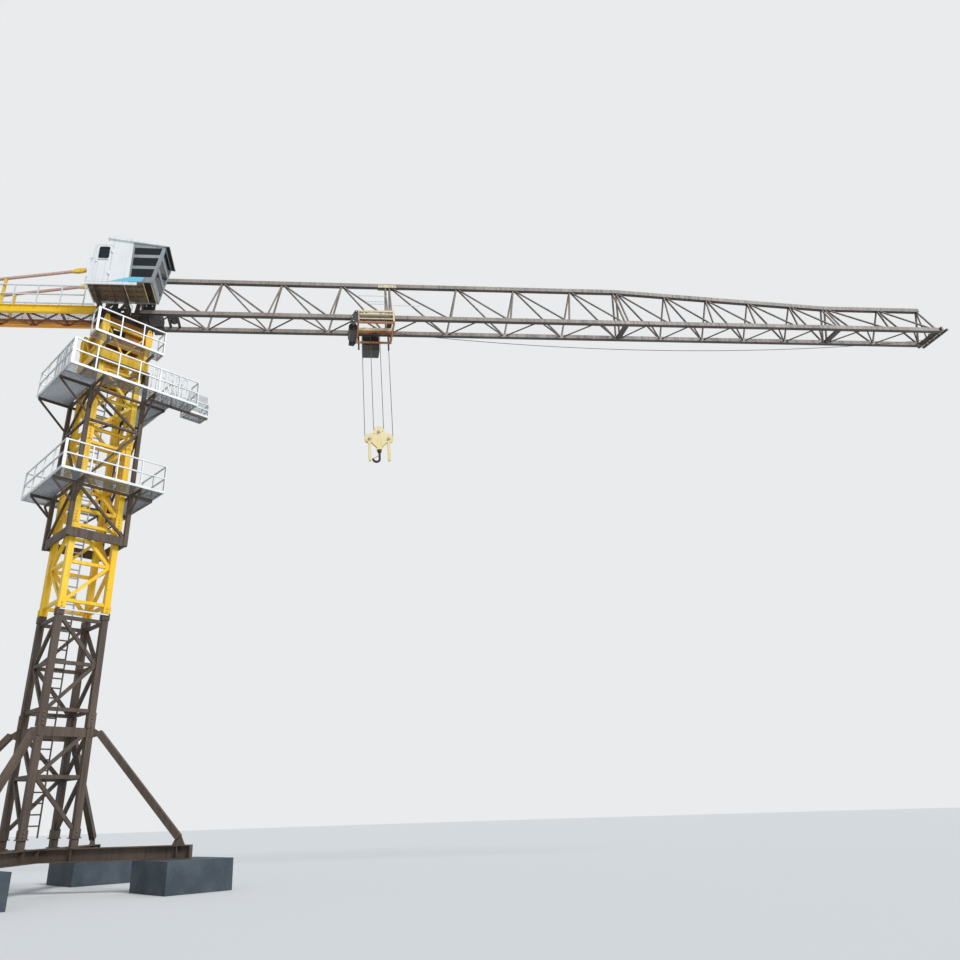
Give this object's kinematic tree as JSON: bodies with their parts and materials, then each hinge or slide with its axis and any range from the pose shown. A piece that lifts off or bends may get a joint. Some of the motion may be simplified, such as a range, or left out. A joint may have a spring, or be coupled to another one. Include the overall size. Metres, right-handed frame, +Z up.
{
  "type": "tower crane, half-size model",
  "caption": "Tower crane on a cross base with ballast, lattice mast, climbing frame, platforms, slewing top, lattice jib, cab, counter-jib, trolley and hook block",
  "frame": {"origin": "on the mast's axis, in the plane of the ballast blocks' undersides", "axes": "+X runs from the mast's axis along the jib to its tip, +Z is up, +Y completes a right-handed frame"},
  "size_m": [23.275, 5.6538, 10.999],
  "materials": {
    "brown_steel": "satin",
    "yellow_steel": "gloss",
    "orange_steel": "satin",
    "dark_steel": "satin",
    "galvanised_steel": "matte",
    "grey_paint": "satin",
    "cab_paint": "gloss",
    "cream_paint": "satin",
    "block_paint": "satin",
    "tie_paint": "satin",
    "wire_rope": "satin",
    "floor_paint": "satin",
    "dark_glass": "gloss",
    "ballast_concrete": "matte",
    "counterweight_concrete": "matte"
  },
  "bodies": {
    "mast_and_base": {"ballast_blocks": "ballast_concrete", "base_long_beam": "brown_steel", "base_half_beams": "brown_steel", "base_feet": "brown_steel", "base_struts": "brown_steel", "lower_mast_near": "brown_steel", "lower_mast_far": "brown_steel", "lower_mast_left": "brown_steel", "lower_mast_right": "brown_steel", "upper_mast_near": "yellow_steel", "upper_mast_far": "yellow_steel", "upper_mast_left": "yellow_steel", "upper_mast_right": "yellow_steel", "mast_ladder": "galvanised_steel", "climbing_frame_near": "brown_steel", "climbing_frame_far": "brown_steel", "climbing_frame_left": "brown_steel", "climbing_frame_right": "brown_steel", "climbing_cylinder": "yellow_steel", "lower_platform_deck": "galvanised_steel", "upper_platform_deck": "galvanised_steel", "platform_brackets": "brown_steel", "platform_rails": "galvanised_steel", "slewing_support": "yellow_steel", "support_box": "orange_steel", "top_platform_deck": "galvanised_steel", "top_platform_rails": "galvanised_steel", "slewing_ring": "dark_steel"},
    "slewing_top": {"turntable": "brown_steel", "slewing_motors": "yellow_steel", "tower_head": "brown_steel", "cab_bracket": "brown_steel", "cab_floor": "floor_paint", "cab_walls": "cab_paint", "cab_window_frame": "grey_paint", "cab_roof": "cab_paint", "cab_glass": "dark_glass", "jib_section_1": "dark_steel", "jib_section_2": "dark_steel", "jib_section_3": "dark_steel", "jib_section_4": "dark_steel", "trolley_winch": "dark_steel", "slack_rope": "wire_rope", "counter_jib_frame": "yellow_steel", "counter_jib_deck": "galvanised_steel", "counter_jib_rails": "galvanised_steel", "counter_jib_ties": "tie_paint", "counterweights": "counterweight_concrete", "hoist_winch": "yellow_steel", "electric_cabinet": "grey_paint"},
    "cab_door_leaf": {"cab_door": "cab_paint", "cab_door_glass": "dark_glass"},
    "trolley": {"trolley_frame": "cream_paint", "trolley_wheels": "dark_steel", "trolley_sheaves": "dark_steel", "trolley_basket": "dark_steel", "hoist_ropes": "wire_rope"},
    "hook_block": {"hook_block": "block_paint", "hook_sheaves": "dark_steel"},
    "hook": {"hook": "dark_steel"}
  },
  "joints": [
    {"name": "slewing", "type": "hinge", "parent": "mast_and_base", "child": "slewing_top", "pos_m": [0, 0, 9.62], "axis": [0, 0, 1], "continuous": true},
    {"name": "cab_door_hinge", "type": "hinge", "parent": "slewing_top", "child": "cab_door_leaf", "pos_m": [0.023, -1.2131, 10.3], "axis": [0, 0, 1], "range_deg": [0, 100]},
    {"name": "trolley_travel", "type": "slide", "parent": "slewing_top", "child": "trolley", "axis": [1, 0, 0], "range_m": [-3.15, 11.6], "deforming": ["slack_rope"]},
    {"name": "hook_hoist", "type": "slide", "parent": "trolley", "child": "hook_block", "axis": [0, 0, 1], "range_m": [-5.8, 1.8], "deforming": ["hoist_ropes"]},
    {"name": "hook_swivel", "type": "hinge", "parent": "hook_block", "child": "hook", "pos_m": [5.15, 0, 7], "axis": [0, 0, 1], "continuous": true}
  ]
}
